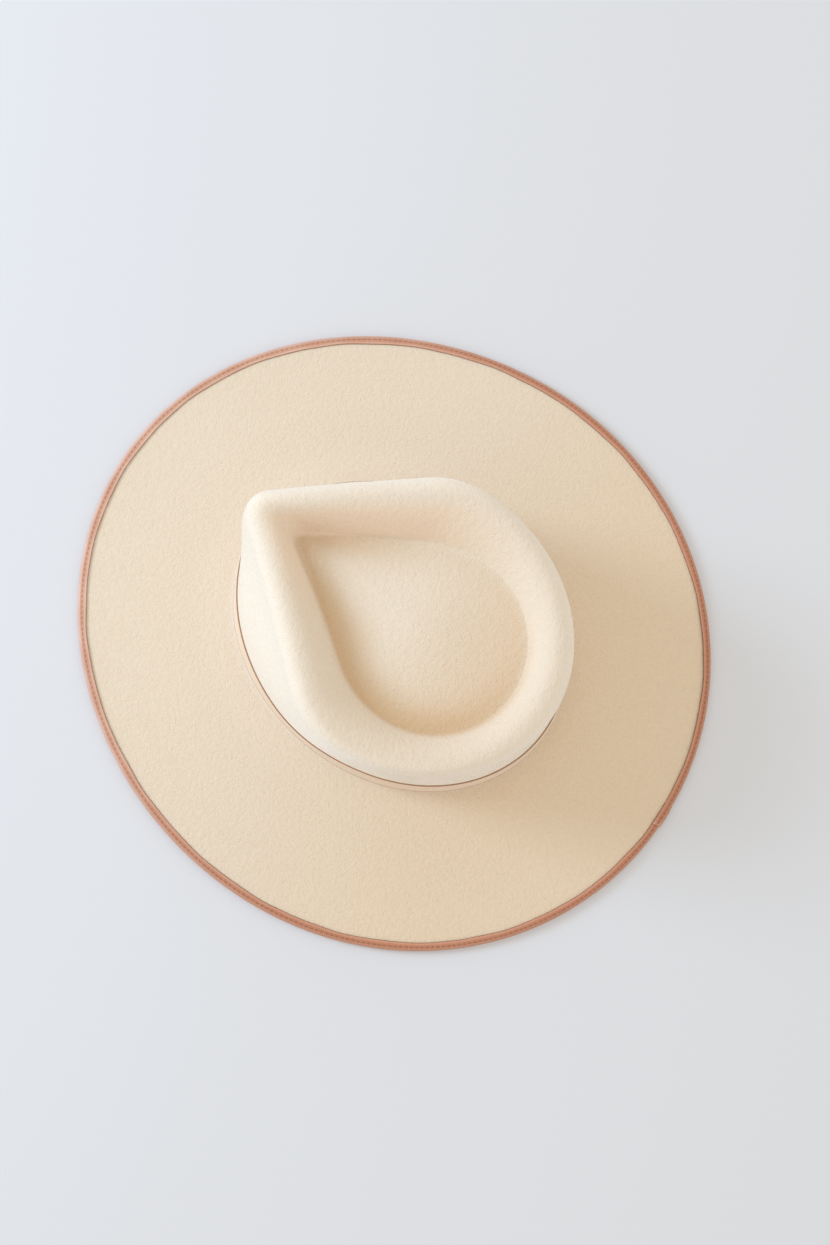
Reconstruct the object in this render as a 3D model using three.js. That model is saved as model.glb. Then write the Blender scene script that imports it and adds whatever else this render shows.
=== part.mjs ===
import * as THREE from 'three';

// A wide-brim fedora of blocked wool felt, with a ribbon folded over the brim's edge and a ribbon band.
// Millimetres. +Z is up, the front is -Y, the wearer's left is +X.
// The origin lies on the surface that the hat rests on, under the middle of the brim.

// Felt cap
const crownLength = 206;       // outside the felt at the band's upper edge, front to back
const crownWidth = 168;        // the same, side to side
const crownEgg = 0.023;        // how much wider the crown is towards the back
const footFlare = 2;           // how much further out its foot is, all round
const footShift = 0.6;         // how far the foot lies to the left of the brim's middle
const brimAtEnds = 90.7;       // felt from the foot to its edge, at the front and the back
const brimAtSides = 94.2;      // the same, at the sides
const brimEgg = 0.028;         // how much wider the brim is towards the back
const brimRise = 2.5;          // the brim's root above its edge
const feltThickness = 2;
const breakRadius = 3;         // where the brim turns up into the crown
const ridgeAtFront = 112;      // height of the crown's ridge at its point
const ridgeAtBack = 100;       // the same, at the back
const shoulderDrop = 13;       // from the ridge down to where its side turns upright
const dentAtFront = 20;        // the crease below the ridge at its point
const dentAtBack = 12;         // the same, at the back
const slopeCurve = 2.2;        // the ridge's inner slope falls faster and faster: 1 would be straight
const floorDome = 4.5;         // the middle of the sunk floor above the crease
const frontSwell = 3.6;        // how much the front of the wall swells at half height
const swellTurn = 18;          // how far round to the left the swell lies, in degrees

// Ribbons
const ribbonThickness = 1;
const clearance = 0.3;         // between a ribbon and the felt, on every side
const bindingWidth = 4.8;      // what shows of the binding from above
const bindingLap = 0.5;        // how much the lapped end stands above the rest
const lapLength = 9;
const lapTurn = 3.5;           // how far round to the left of the back the lap starts, in degrees
const bandHeight = 22;

// The crown's top is three teardrop rings, one inside the other. Nose, back and widest are shares of half
// the crown's length, the others shares of half its width. Widest is how far behind the middle the ring is
// widest, cheek and tip are the radii of its cheeks and its point. Shift moves the whole ring to the left,
// and drift its point.
const ringTable = {
  shoulder: {
    nose: 1.075, back: 0.874, width: 0.965, widest: -0.037,
    cheek: 0.637, tip: 0.156, shift: 0.016, drift: -0.05,
  },
  ridge: {
    nose: 0.985, back: 0.76, width: 0.872, widest: -0.002,
    cheek: 0.526, tip: 0.061, shift: 0.046, drift: -0.092,
  },
  crease: {
    nose: 0.755, back: 0.627, width: 0.603, widest: 0.133,
    cheek: 0.768, tip: 0.061, shift: 0.033, drift: -0.102,
  },
};

// How fine the facets are
const stations = 64;           // round the hat
const frontPull = 0.38;        // draws the stations together at the crown's point
const brimRows = 5;
const wallRows = 6;            // above the band
const shoulderRows = 4;
const slopeRows = 6;           // down the ridge's inner slope
const floorRows = 4;
const ringSamples = 240;

const halfLength = crownLength / 2;
const halfWidth = crownWidth / 2;
const edgeBottom = ribbonThickness + clearance;
const edgeTop = edgeBottom + feltThickness;
const rootTop = edgeTop + brimRise;
const wallFoot = rootTop + breakRadius;

// Angles round the hat, counted from the front towards the wearer's left.
const angles = Array.from({ length: stations }, (_, k) => {
  const turn = (2 * Math.PI * k) / stations;
  return turn - frontPull * Math.sin(turn);
});

const mix = THREE.MathUtils.lerp;
const smooth = (x) => THREE.MathUtils.smoothstep(x, 0, 1);

function pointAt(angle, radius, height, shift = 0) {
  return new THREE.Vector3(radius * Math.sin(angle) + shift, -radius * Math.cos(angle), height);
}

// Distance from the middle to an oval that is wider towards the back.
function ovalRadius(angle, length, width, egg) {
  const plain = (length * width) / Math.hypot(width * Math.cos(angle), length * Math.sin(angle));
  return plain * (1 - egg * Math.sin(angle) ** 2 * Math.cos(angle));
}

const crownRadius = (angle) => ovalRadius(angle, halfLength, halfWidth, crownEgg);
const footRadius = (angle) => crownRadius(angle) + footFlare;
const edgeRadius = (angle) =>
  ovalRadius(angle, halfLength + footFlare + brimAtEnds, halfWidth + footFlare + brimAtSides, brimEgg);

// One teardrop ring: a round point, a straight run, a round cheek and half an oval at the back.
// Gives the distance from the middle at any angle.
function teardrop(row) {
  const tip = row.tip * halfWidth;
  const cheek = row.cheek * halfWidth;
  const width = row.width * halfWidth;
  const tipX = row.nose * halfLength - tip;
  const cheekX = -row.widest * halfLength;
  const cheekY = width - cheek;
  const run = tipX - cheekX;
  const lean = Math.atan2(cheekY, run) + Math.asin((cheek - tip) / Math.hypot(run, cheekY));
  const path = new THREE.Path();
  path.absarc(tipX, 0, tip, 0, Math.PI / 2 - lean);
  path.absarc(cheekX, cheekY, cheek, Math.PI / 2 - lean, Math.PI / 2);
  path.absellipse(cheekX, 0, cheekX + row.back * halfLength, width, Math.PI / 2, Math.PI);
  const points = path.getSpacedPoints(ringSamples);
  return (angle) => {
    const turn = Math.abs(Math.atan2(Math.sin(angle), Math.cos(angle)));
    const next = points.findIndex((p) => Math.atan2(p.y, p.x) >= turn);
    if (next < 1) return next === 0 ? points[0].length() : row.back * halfLength;
    const [a, b] = [points[next - 1], points[next]];
    const [from, to] = [Math.atan2(a.y, a.x), Math.atan2(b.y, b.x)];
    return mix(a.length(), b.length(), (turn - from) / (to - from));
  };
}

const rings = Object.fromEntries(
  Object.entries(ringTable).map(([name, row]) => [name, teardrop(row)]),
);

// How far a ring lies to the left: it drifts more the nearer it is to the front.
function shiftOf(name, angle) {
  const { shift, drift } = ringTable[name];
  const forward = (rings[name](angle) * Math.cos(angle)) / halfLength;
  return halfWidth * (shift + drift * smooth(forward));
}

// How far back a place on the crown lies: 0 at its point, 1 at the back.
function backShare(angle) {
  const { nose, back } = ringTable.ridge;
  const y = (-rings.ridge(angle) * Math.cos(angle)) / halfLength;
  return (y + nose) / (nose + back);
}

const ridgeHeight = (angle) => mix(ridgeAtFront, ridgeAtBack, backShare(angle));
const creaseHeight = (angle) => ridgeHeight(angle) - mix(dentAtFront, dentAtBack, backShare(angle));
const floorHeight = floorDome + (ridgeAtFront - dentAtFront + ridgeAtBack - dentAtBack) / 2;

// The crown's side wall at a height: an oval, drawn into the teardrop as it rises and flared at the foot.
function wallPoint(angle, height, outwards = 0) {
  const share = (height - wallFoot) / (ridgeHeight(angle) - shoulderDrop - wallFoot);
  const drawn = mix(share, smooth(share), 0.85);
  const radius = mix(crownRadius(angle), rings.shoulder(angle), drawn);
  const turned = angle - THREE.MathUtils.degToRad(swellTurn);
  const swell = frontSwell * smooth(Math.cos(turned)) * Math.sin(Math.PI * share);
  const flare = footFlare * (1 - smooth((height - wallFoot) / bandHeight));
  const shift = mix(footShift, shiftOf('shoulder', angle), drawn);
  return pointAt(angle, radius + swell + flare + outwards, height, shift);
}

// The outer face of the felt at one angle, from the brim's edge over the ridge to the floor.
function feltProfile(angle) {
  const profile = [];
  const foot = footRadius(angle);
  const edge = edgeRadius(angle);
  for (let k = 0; k < brimRows; k += 1) {
    const share = k === 1 ? bindingWidth / (edge - foot) : k / (brimRows - 1);
    const inwards = mix(edge, foot + breakRadius, share);
    const height = mix(edgeTop, rootTop, smooth(k === 1 ? 0 : share));
    profile.push(pointAt(angle, inwards, height, footShift * share));
  }
  const bend = Math.PI / 4;
  const bendRadius = foot + breakRadius * (1 - Math.sin(bend));
  profile.push(pointAt(angle, bendRadius, wallFoot - breakRadius * Math.cos(bend), footShift));
  const bandTop = wallFoot + bandHeight;
  const shoulder = ridgeHeight(angle) - shoulderDrop;
  profile.push(wallPoint(angle, wallFoot), wallPoint(angle, wallFoot + bandHeight / 2));
  for (let k = 0; k <= wallRows; k += 1) {
    profile.push(wallPoint(angle, mix(bandTop, shoulder, k / wallRows)));
  }
  const [outer, ridge, crease] = [rings.shoulder(angle), rings.ridge(angle), rings.crease(angle)];
  const [outerShift, ridgeShift, creaseShift] = Object.keys(rings).map((name) => shiftOf(name, angle));
  for (let k = 1; k <= shoulderRows; k += 1) {
    const turn = (Math.PI / 2) * (k / shoulderRows);
    const height = shoulder + shoulderDrop * Math.sin(turn);
    const share = Math.cos(turn);
    profile.push(pointAt(angle, mix(ridge, outer, share), height, mix(ridgeShift, outerShift, share)));
  }
  for (let k = 1; k <= slopeRows; k += 1) {
    const share = k / slopeRows;
    const height = mix(ridgeHeight(angle), creaseHeight(angle), share ** slopeCurve);
    profile.push(pointAt(angle, mix(ridge, crease, share), height, mix(ridgeShift, creaseShift, share)));
  }
  for (let k = floorRows - 1; k > 0; k -= 1) {
    const share = k / floorRows;
    const height = mix(floorHeight, creaseHeight(angle), (1 - Math.cos(Math.PI * share)) / 2);
    profile.push(pointAt(angle, crease * share, height, creaseShift * share));
  }
  return profile;
}

function meshFrom(name, points, triangles, material) {
  const geometry = new THREE.BufferGeometry();
  geometry.setAttribute('position', new THREE.Float32BufferAttribute(points.flatMap((p) => p.toArray()), 3));
  geometry.setIndex(triangles.flat());
  geometry.computeVertexNormals();
  const mesh = new THREE.Mesh(geometry, material);
  mesh.name = name;
  return mesh;
}

// Triangles of the strip between two rings of points that start at these numbers.
function strip(first, second, count) {
  return Array.from({ length: count }, (_, k) => {
    const next = (k + 1) % count;
    return [
      [first + k, first + next, second + next],
      [first + k, second + next, second + k],
    ];
  }).flat();
}

// Felt cap: the outer face, and the inner face one felt thickness behind it.
function feltCap(material) {
  const profiles = angles.map(feltProfile);
  const rowCount = profiles[0].length;
  const outer = [];
  for (let row = 0; row < rowCount; row += 1) {
    profiles.forEach((profile) => outer.push(profile[row]));
  }
  outer.push(new THREE.Vector3(0, 0, floorHeight));
  const pole = outer.length - 1;
  const face = [];
  for (let row = 0; row + 1 < rowCount; row += 1) {
    face.push(...strip(row * stations, (row + 1) * stations, stations));
  }
  const last = (rowCount - 1) * stations;
  for (let k = 0; k < stations; k += 1) {
    face.push([last + k, last + ((k + 1) % stations), pole]);
  }
  const normals = meshFrom('face', outer, face, material).geometry.getAttribute('normal');
  const inner = outer.map((point, k) => {
    const normal = new THREE.Vector3().fromBufferAttribute(normals, k);
    if (k < 2 * stations) normal.set(0, 0, 1);
    return point.clone().addScaledVector(normal, -feltThickness);
  });
  const back = face.map(([a, b, c]) => [a, c, b].map((k) => k + outer.length));
  const rim = strip(outer.length, 0, stations);
  return meshFrom('felt_body', [...outer, ...inner], [...face, ...back, ...rim], material);
}

// A closed ring swept round the hat from one section for each angle.
function sweptRing(name, sections, material) {
  const size = sections[0].length;
  const points = sections.flat();
  const triangles = sections.flatMap((_, k) => {
    const here = k * size;
    const there = ((k + 1) % sections.length) * size;
    return strip(there, here, size);
  });
  return meshFrom(name, points, triangles, material);
}

// Section of the folded binding, flat underneath, round at the nose. The lap raises its upper face.
function bindingSection(angle, lap) {
  const edge = edgeRadius(angle);
  const inside = edge - bindingWidth + ribbonThickness + clearance;
  const nose = edge + clearance + ribbonThickness;
  const top = edgeTop + clearance;
  const corner = ribbonThickness;
  const outline = [
    [inside, 0],
    [nose - corner, 0],
    [nose, corner],
    [nose, top + lap],
    [nose - corner, top + ribbonThickness + lap],
    [inside, top + ribbonThickness + lap],
    [inside, top],
    [edge + clearance, top],
    [edge + clearance, ribbonThickness],
    [inside, ribbonThickness],
  ];
  return outline.map(([radius, height]) => pointAt(angle, radius, height));
}

// The binding is one ribbon whose end lies on top of its beginning near the centre of the back.
function binding(material) {
  const reach = halfLength + footFlare + brimAtEnds;
  const lapStart = Math.PI - THREE.MathUtils.degToRad(lapTurn);
  const lapEnd = lapStart + lapLength / reach;
  const step = ribbonThickness / reach;
  const isLapped = (angle) => angle >= lapStart && angle <= lapEnd;
  const cuts = [lapStart - step, lapStart, lapEnd, lapEnd + step];
  const clear = angles.filter((angle) => cuts.every((cut) => Math.abs(angle - cut) > step / 4));
  const round = [...clear, ...cuts].sort((a, b) => a - b);
  const sections = round.map((angle) => bindingSection(angle, isLapped(angle) ? bindingLap : 0));
  return sweptRing('brim_binding', sections, material);
}

// The hat band stands on the break of the brim and follows the crown's wall.
function hatBand(material) {
  const rise = clearance + ribbonThickness;
  const sections = angles.map((angle) => {
    const heights = [wallFoot, wallFoot + bandHeight / 2, wallFoot + bandHeight];
    const near = heights.map((height) => wallPoint(angle, height, clearance));
    const far = heights.map((height) => wallPoint(angle, height, rise));
    return [near[0], far[0], far[1], far[2], near[2], near[1]];
  });
  return sweptRing('hat_band', sections, material);
}

const felt = new THREE.MeshStandardMaterial({ color: 0xe9dac0, roughness: 0.95, metalness: 0 });
const tanRibbon = new THREE.MeshStandardMaterial({ color: 0xbe8f77, roughness: 0.8, metalness: 0 });
const creamRibbon = new THREE.MeshStandardMaterial({ color: 0xe6d3b8, roughness: 0.8, metalness: 0 });

const hat = new THREE.Group();
hat.name = 'fedora';
hat.add(feltCap(felt), binding(tanRibbon), hatBand(creamRibbon));

export default hat;
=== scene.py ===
# %% [markdown]
# A wide-brim felt fedora, seen nearly from above
# The hat is one blocked cap of ivory wool felt, a tan ribbon folded over the brim's edge and a low ribbon
# band round the crown. The solid model of the same hat is loaded first: it fixes every outer size and
# place, and each solid is then replaced here by a finer piece with the same outline. Everything below is
# in metres, with +Z up, the wearer's front at -Y and the wearer's left at +X.

# %% The frame
import math

import bpy
import numpy as np
from mathutils import Matrix, Vector


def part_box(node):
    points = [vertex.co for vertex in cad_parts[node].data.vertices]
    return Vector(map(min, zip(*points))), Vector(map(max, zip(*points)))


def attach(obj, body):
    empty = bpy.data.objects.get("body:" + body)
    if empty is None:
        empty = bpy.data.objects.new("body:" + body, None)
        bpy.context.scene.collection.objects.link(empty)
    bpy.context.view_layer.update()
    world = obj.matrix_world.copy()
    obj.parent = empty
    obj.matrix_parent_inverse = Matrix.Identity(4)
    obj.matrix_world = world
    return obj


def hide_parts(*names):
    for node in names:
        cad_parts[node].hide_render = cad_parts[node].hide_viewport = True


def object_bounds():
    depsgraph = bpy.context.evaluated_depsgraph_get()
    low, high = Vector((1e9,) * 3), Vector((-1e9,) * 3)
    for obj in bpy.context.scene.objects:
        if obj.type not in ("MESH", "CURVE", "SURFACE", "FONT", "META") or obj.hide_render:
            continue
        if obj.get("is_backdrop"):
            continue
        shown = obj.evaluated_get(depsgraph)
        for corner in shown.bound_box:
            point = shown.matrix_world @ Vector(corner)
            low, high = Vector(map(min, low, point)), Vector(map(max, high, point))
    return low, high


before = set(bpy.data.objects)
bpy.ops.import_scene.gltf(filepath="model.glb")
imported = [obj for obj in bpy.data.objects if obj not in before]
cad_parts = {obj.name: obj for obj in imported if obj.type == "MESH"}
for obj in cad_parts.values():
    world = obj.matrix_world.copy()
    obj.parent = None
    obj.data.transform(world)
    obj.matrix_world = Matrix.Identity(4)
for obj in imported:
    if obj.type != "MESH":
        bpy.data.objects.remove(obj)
cad_low, cad_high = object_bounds()
mm = 0.001
print("solid model, mm:", [round((high - low) / mm, 1) for low, high in zip(cad_low, cad_high)])

# %% [markdown]
# Camera
# The photographer stood almost over the hat, so the brim is a near circle and little of the crown's side
# shows. A camera could be aimed by a Track To constraint, but its roll would then follow the world's up
# direction. Here the matrix is built from three directions, so that the hat also lies turned on the floor
# as in the picture: its point looks towards the upper left corner.

# %% Camera
camera_place = Vector((0.0984, -0.0372, 0.7874))
camera_target = Vector((-0.0114, 0.0033, 0.0))
picture_turn = math.radians(33.4)
camera_lens = 37.77

forward = (camera_target - camera_place).normalized()
across = Vector((-math.sin(picture_turn), math.cos(picture_turn), 0.0))
right = (across - forward * across.dot(forward)).normalized()
up = right.cross(forward)

camera_data = bpy.data.cameras.new("camera")
camera_data.lens = camera_lens
camera_data.sensor_width = 36.0
camera = bpy.data.objects.new("camera", camera_data)
camera.matrix_world = Matrix(
    [[right[k], up[k], -forward[k], camera_place[k]] for k in range(3)] + [[0.0, 0.0, 0.0, 1.0]]
)
bpy.context.scene.collection.objects.link(camera)
bpy.context.scene.camera = camera
print("camera looks down at", round(math.degrees(math.asin(-forward.z)), 1), "degrees")

# %% [markdown]
# Floor and light
# The surface is plain and pale. The light is cool daylight from one soft source at the picture's left, low
# enough to rake over the crown's ridge, and a bright warm fill from all round. A disk area light gives
# the soft edge of the shadow that the crown throws on the brim, and the world's colour gives the fill.

# %% Floor
def plain_material(name, colour, roughness):
    material = bpy.data.materials.new(name)
    material.use_nodes = True
    shader = material.node_tree.nodes["Principled BSDF"]
    shader.inputs["Base Color"].default_value = (*colour, 1.0)
    shader.inputs["Roughness"].default_value = roughness
    return material


floor_half = 3.0
corners = [(-1, -1), (1, -1), (1, 1), (-1, 1)]
floor_mesh = bpy.data.meshes.new("floor")
floor_mesh.from_pydata([(x * floor_half, y * floor_half, 0.0) for x, y in corners], [], [(0, 1, 2, 3)])
floor_mesh.materials.append(plain_material("pale_paper", (0.75, 0.763, 0.775), 0.9))
floor = bpy.data.objects.new("floor", floor_mesh)
bpy.context.scene.collection.objects.link(floor)
floor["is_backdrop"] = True

# %% Light
def picture_direction(angle, height):
    """Direction at an angle in the picture, clockwise from its right side, and at a height in degrees."""
    flat = right * math.cos(math.radians(angle)) - up * math.sin(math.radians(angle))
    flat = Vector((flat.x, flat.y, 0.0)).normalized()
    return flat * math.cos(math.radians(height)) + Vector((0.0, 0.0, math.sin(math.radians(height))))


def soft_light(name, angle, height, distance, size, power, colour):
    lamp = bpy.data.lights.new(name, "AREA")
    lamp.shape = "DISK"
    lamp.size = size
    lamp.energy = power
    lamp.color = colour
    holder = bpy.data.objects.new(name, lamp)
    holder.location = picture_direction(angle, height) * distance
    holder.rotation_mode = "QUATERNION"
    holder.rotation_quaternion = holder.location.to_track_quat("Z", "Y")
    bpy.context.scene.collection.objects.link(holder)


soft_light("window", angle=197, height=27, distance=2.0, size=0.7, power=21.0, colour=(0.61, 0.77, 1.0))

world = bpy.data.worlds.new("fill")
world.use_nodes = True
world.node_tree.nodes["Background"].inputs["Color"].default_value = (0.845, 0.815, 0.785, 1.0)
world.node_tree.nodes["Background"].inputs["Strength"].default_value = 1.0
bpy.context.scene.world = world
bpy.context.scene.view_settings.view_transform = "Standard"

# %% [markdown]
# Sizes of the felt
# A hat is blocked: a wet felt cone is pulled over a wooden form and ironed flat for the brim. Its shape
# therefore follows a few rings that lie one above the other. The outer sizes come from the solid model's
# box, and the rest are real sizes of the block.

# %% Sizes of the felt
felt_low, felt_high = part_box("felt_body")
brim_half_length = (felt_high.y - felt_low.y) / 2
brim_half_width = (felt_high.x - felt_low.x) / 2
felt_thickness = 2.0 * mm
edge_top = felt_low.z + felt_thickness
ridge_front = felt_high.z
ridge_back = ridge_front - 12.0 * mm
crown_half_length = 103.0 * mm
crown_half_width = 84.0 * mm
foot_flare = 2.0 * mm
foot_shift = 0.6 * mm
wall_ease = 0.85
crown_egg, brim_egg = 0.023, 0.028
brim_rise = 2.5 * mm
break_radius = 3.0 * mm
wall_foot = edge_top + brim_rise + break_radius
shoulder_drop = 13.0 * mm
dent_front, dent_back = 20.0 * mm, 12.0 * mm
slope_curve = 2.2
floor_dome = 4.5 * mm
front_swell = 3.6 * mm
swell_turn = math.radians(18.0)
band_height = 22.0 * mm
print("brim, mm:", round(brim_half_length / mm, 1), round(brim_half_width / mm, 1))

# %% [markdown]
# The rings of the crown
# Seen from above the crown is a teardrop: a small round point at the front, a nearly straight run to a
# round cheek on each side, and half an oval at the back. Drawing such a ring by hand as a curve would
# work, but a rule keeps the three rings of the block alike: the shoulder outside, the ridge's crest, and
# the crease where the sunk floor begins. All values are shares of the crown's half length or half width.

# %% The rings of the crown
rings = {
    "shoulder": dict(nose=1.075, back=0.874, width=0.965, widest=-0.037,
                     cheek=0.637, tip=0.156, shift=0.016, drift=-0.05),
    "ridge": dict(nose=0.985, back=0.76, width=0.872, widest=-0.002,
                  cheek=0.526, tip=0.061, shift=0.046, drift=-0.092),
    "crease": dict(nose=0.755, back=0.627, width=0.603, widest=0.133,
                   cheek=0.768, tip=0.061, shift=0.033, drift=-0.102),
}


ring_points = dict(tip=60, cheek=120, back=300, even=3000)


def smooth(x):
    x = np.clip(x, 0.0, 1.0)
    return x * x * (3.0 - 2.0 * x)


def mix(a, b, share):
    return a + (b - a) * share


def arc(centre, radii, start, end, count):
    turn = np.linspace(start, end, count)
    return np.stack([centre[0] + radii[0] * np.cos(turn), centre[1] + radii[1] * np.sin(turn)], axis=1)


def teardrop_radius(turn, ring):
    """Distance from the middle to a teardrop ring, at angles counted from the front."""
    tip, cheek, width = (ring[key] * crown_half_width for key in ("tip", "cheek", "width"))
    tip_x = ring["nose"] * crown_half_length - tip
    cheek_x, cheek_y = -ring["widest"] * crown_half_length, width - cheek
    run = tip_x - cheek_x
    lean = math.atan2(cheek_y, run) + math.asin((cheek - tip) / math.hypot(run, cheek_y))
    reach = cheek_x + ring["back"] * crown_half_length
    path = np.concatenate([
        arc((tip_x, 0.0), (tip, tip), 0.0, math.pi / 2 - lean, ring_points["tip"]),
        arc((cheek_x, cheek_y), (cheek, cheek), math.pi / 2 - lean, math.pi / 2, ring_points["cheek"]),
        arc((cheek_x, 0.0), (reach, width), math.pi / 2, math.pi, ring_points["back"]),
    ])
    steps = np.r_[0.0, np.cumsum(np.hypot(*np.diff(path, axis=0).T))]
    even = np.linspace(0.0, steps[-1], ring_points["even"])
    x, y = np.interp(even, steps, path[:, 0]), np.interp(even, steps, path[:, 1])
    folded = np.abs((turn + math.pi) % (2.0 * math.pi) - math.pi)
    return np.interp(folded, np.arctan2(y, x), np.hypot(x, y))


def oval_radius(turn, half_length, half_width, egg):
    plain = half_length * half_width / np.hypot(half_width * np.cos(turn), half_length * np.sin(turn))
    return plain * (1.0 - egg * np.sin(turn) ** 2 * np.cos(turn))


def ring_shift(turn, name):
    """How far a ring lies to the wearer's left: its point leans a little to the other side."""
    forward_share = teardrop_radius(turn, rings[name]) * np.cos(turn) / crown_half_length
    return crown_half_width * (rings[name]["shift"] + rings[name]["drift"] * smooth(forward_share))


def place(turn, radius, height, shift=0.0):
    """Points round the hat: turn 0 is the front, and it grows towards the wearer's left."""
    radius, height = np.broadcast_arrays(radius, height)
    return np.stack([radius * np.sin(turn) + shift, -radius * np.cos(turn), height], axis=-1)


print("teardrop shares:", {name: ring["nose"] for name, ring in rings.items()})

# %% [markdown]
# Heights over the crown
# The ridge is highest at the point and falls towards the back. The crease lies below it, deeper at the
# front, and the sunk floor swells a little in its middle, where the block was tapped round.

# %% Heights over the crown
def back_share(turn):
    ring = rings["ridge"]
    y = -teardrop_radius(turn, ring) * np.cos(turn) / crown_half_length
    return (y + ring["nose"]) / (ring["nose"] + ring["back"])


def ridge_height(turn):
    return mix(ridge_front, ridge_back, back_share(turn))


def crease_height(turn):
    return ridge_height(turn) - mix(dent_front, dent_back, back_share(turn))


floor_height = floor_dome + (ridge_front - dent_front + ridge_back - dent_back) / 2


def crown_radius(turn):
    return oval_radius(turn, crown_half_length, crown_half_width, crown_egg)


def edge_radius(turn):
    return oval_radius(turn, brim_half_length, brim_half_width, brim_egg)


def wall_place(turn, height, outwards=0.0):
    """A point of the crown's side: an oval, drawn into the teardrop as it rises and flared at the foot."""
    top = ridge_height(turn) - shoulder_drop
    share = (height - wall_foot) / (top - wall_foot)
    drawn = mix(share, smooth(share), wall_ease)
    radius = mix(crown_radius(turn), teardrop_radius(turn, rings["shoulder"]), drawn) + outwards
    radius = radius + front_swell * smooth(np.cos(turn - swell_turn)) * np.sin(math.pi * share)
    radius = radius + foot_flare * (1.0 - smooth((height - wall_foot) / band_height))
    return place(turn, radius, height, mix(foot_shift, ring_shift(turn, "shoulder"), drawn))


front_and_back = np.array([0.0, math.pi])
print("ridge, mm:", np.round(ridge_height(front_and_back) / mm, 1))
print("crease, mm:", np.round(crease_height(front_and_back) / mm, 1))

# %% [markdown]
# The felt as one cap
# Felt has no seams, so crown and brim are one surface. It could be sculpted, but a lofted grid of rings
# keeps the outline exact: every ring has the same number of points, and they crowd together at the
# crown's point, where the curve is tightest. Solidify gives the felt its thickness on the inside, and
# one level of subdivision rounds the crest and the crease. The middle of the floor is a small cap of
# triangles, so no hole is left there.

# %% Rows of the felt
stations = 144
front_pull = 0.38
plain_turns = np.linspace(0.0, 2.0 * math.pi, stations, endpoint=False)
turns = plain_turns - front_pull * np.sin(plain_turns)


def brim_rows(turn, count=16):
    edge, foot = edge_radius(turn), crown_radius(turn) + foot_flare + break_radius
    rows = []
    for share in np.linspace(0.0, 1.0, count):
        height = edge_top + brim_rise * smooth(share)
        rows.append(place(turn, mix(edge, foot, share), height, foot_shift * share))
    bend = math.pi / 4
    radius = foot - break_radius * math.sin(bend)
    rows.append(place(turn, radius, wall_foot - break_radius * math.cos(bend), foot_shift))
    return rows


def wall_rows(turn, count=14):
    top = ridge_height(turn) - shoulder_drop
    return [wall_place(turn, mix(wall_foot, top, share)) for share in np.linspace(0.0, 1.0, count)]


def crest_rows(turn, count=7):
    outer, crest = (teardrop_radius(turn, rings[name]) for name in ("shoulder", "ridge"))
    outer_shift, crest_shift = ring_shift(turn, "shoulder"), ring_shift(turn, "ridge")
    rows = []
    for quarter in np.linspace(0.0, math.pi / 2, count + 1)[1:]:
        share = math.cos(quarter)
        height = ridge_height(turn) - shoulder_drop * (1.0 - math.sin(quarter))
        rows.append(place(turn, mix(crest, outer, share), height, mix(crest_shift, outer_shift, share)))
    return rows


def slope_rows(turn, shares=(0.1, 0.2, 0.3, 0.4, 0.5, 0.6, 0.7, 0.8, 0.88, 0.94, 0.975, 1.0)):
    crest, crease = (teardrop_radius(turn, rings[name]) for name in ("ridge", "crease"))
    crest_shift, crease_shift = ring_shift(turn, "ridge"), ring_shift(turn, "crease")
    rows = []
    for share in shares:
        height = mix(ridge_height(turn), crease_height(turn), share ** slope_curve)
        rows.append(place(turn, mix(crest, crease, share), height, mix(crest_shift, crease_shift, share)))
    return rows


def floor_rows(turn, shares=(0.985, 0.955, 0.91, 0.85, 0.77, 0.68, 0.59, 0.5, 0.4, 0.3, 0.2, 0.1)):
    crease, shift = teardrop_radius(turn, rings["crease"]), ring_shift(turn, "crease")
    rows = []
    for share in shares:
        height = mix(floor_height, crease_height(turn), (1.0 - math.cos(math.pi * share)) / 2)
        rows.append(place(turn, crease * share, height, shift * share))
    return rows


row_groups = [brim_rows, wall_rows, crest_rows, slope_rows, floor_rows]
felt_rows = [row for group in row_groups for row in group(turns)]
print("felt:", len(felt_rows), "rows of", stations, "points")

# %% Felt mesh
def ring_faces(row_count, size):
    """Quads between closed rows of points, facing outwards when the rows go inwards over the top."""
    faces = []
    for row in range(row_count - 1):
        here, there = row * size, (row + 1) * size
        for k in range(size):
            after = (k + 1) % size
            faces.append((here + k, here + after, there + after, there + k))
    return faces


def mesh_object(name, points, faces, material=None):
    mesh = bpy.data.meshes.new(name)
    mesh.from_pydata([tuple(point) for point in points], [], faces)
    mesh.update()
    mesh.shade_smooth()
    if material:
        mesh.materials.append(material)
    made = bpy.data.objects.new(name, mesh)
    bpy.context.scene.collection.objects.link(made)
    return made


felt_points = np.concatenate([*felt_rows, [[0.0, 0.0, floor_height]]])
last_row = (len(felt_rows) - 1) * stations
pole = len(felt_points) - 1
cap_faces = [(last_row + k, last_row + (k + 1) % stations, pole) for k in range(stations)]
felt = mesh_object("felt_cap", felt_points, ring_faces(len(felt_rows), stations) + cap_faces)
print("felt cage:", len(felt.data.polygons), "faces")

# %% Felt thickness
wall = felt.modifiers.new("thickness", "SOLIDIFY")
wall.thickness = felt_thickness
wall.offset = -1.0
wall.use_even_offset = False
rounding = felt.modifiers.new("rounding", "SUBSURF")
rounding.levels = rounding.render_levels = 1


def freeze(made):
    """Replaces an object's mesh by what its modifiers make of it, and removes the modifiers."""
    graph = bpy.context.evaluated_depsgraph_get()
    mesh = bpy.data.meshes.new_from_object(made.evaluated_get(graph))
    mesh.name = made.name
    made.modifiers.clear()
    made.data = mesh
    return made


freeze(felt)
print("felt:", len(felt.data.polygons), "faces, box", [round(s / mm, 1) for s in felt.dimensions])

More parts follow.
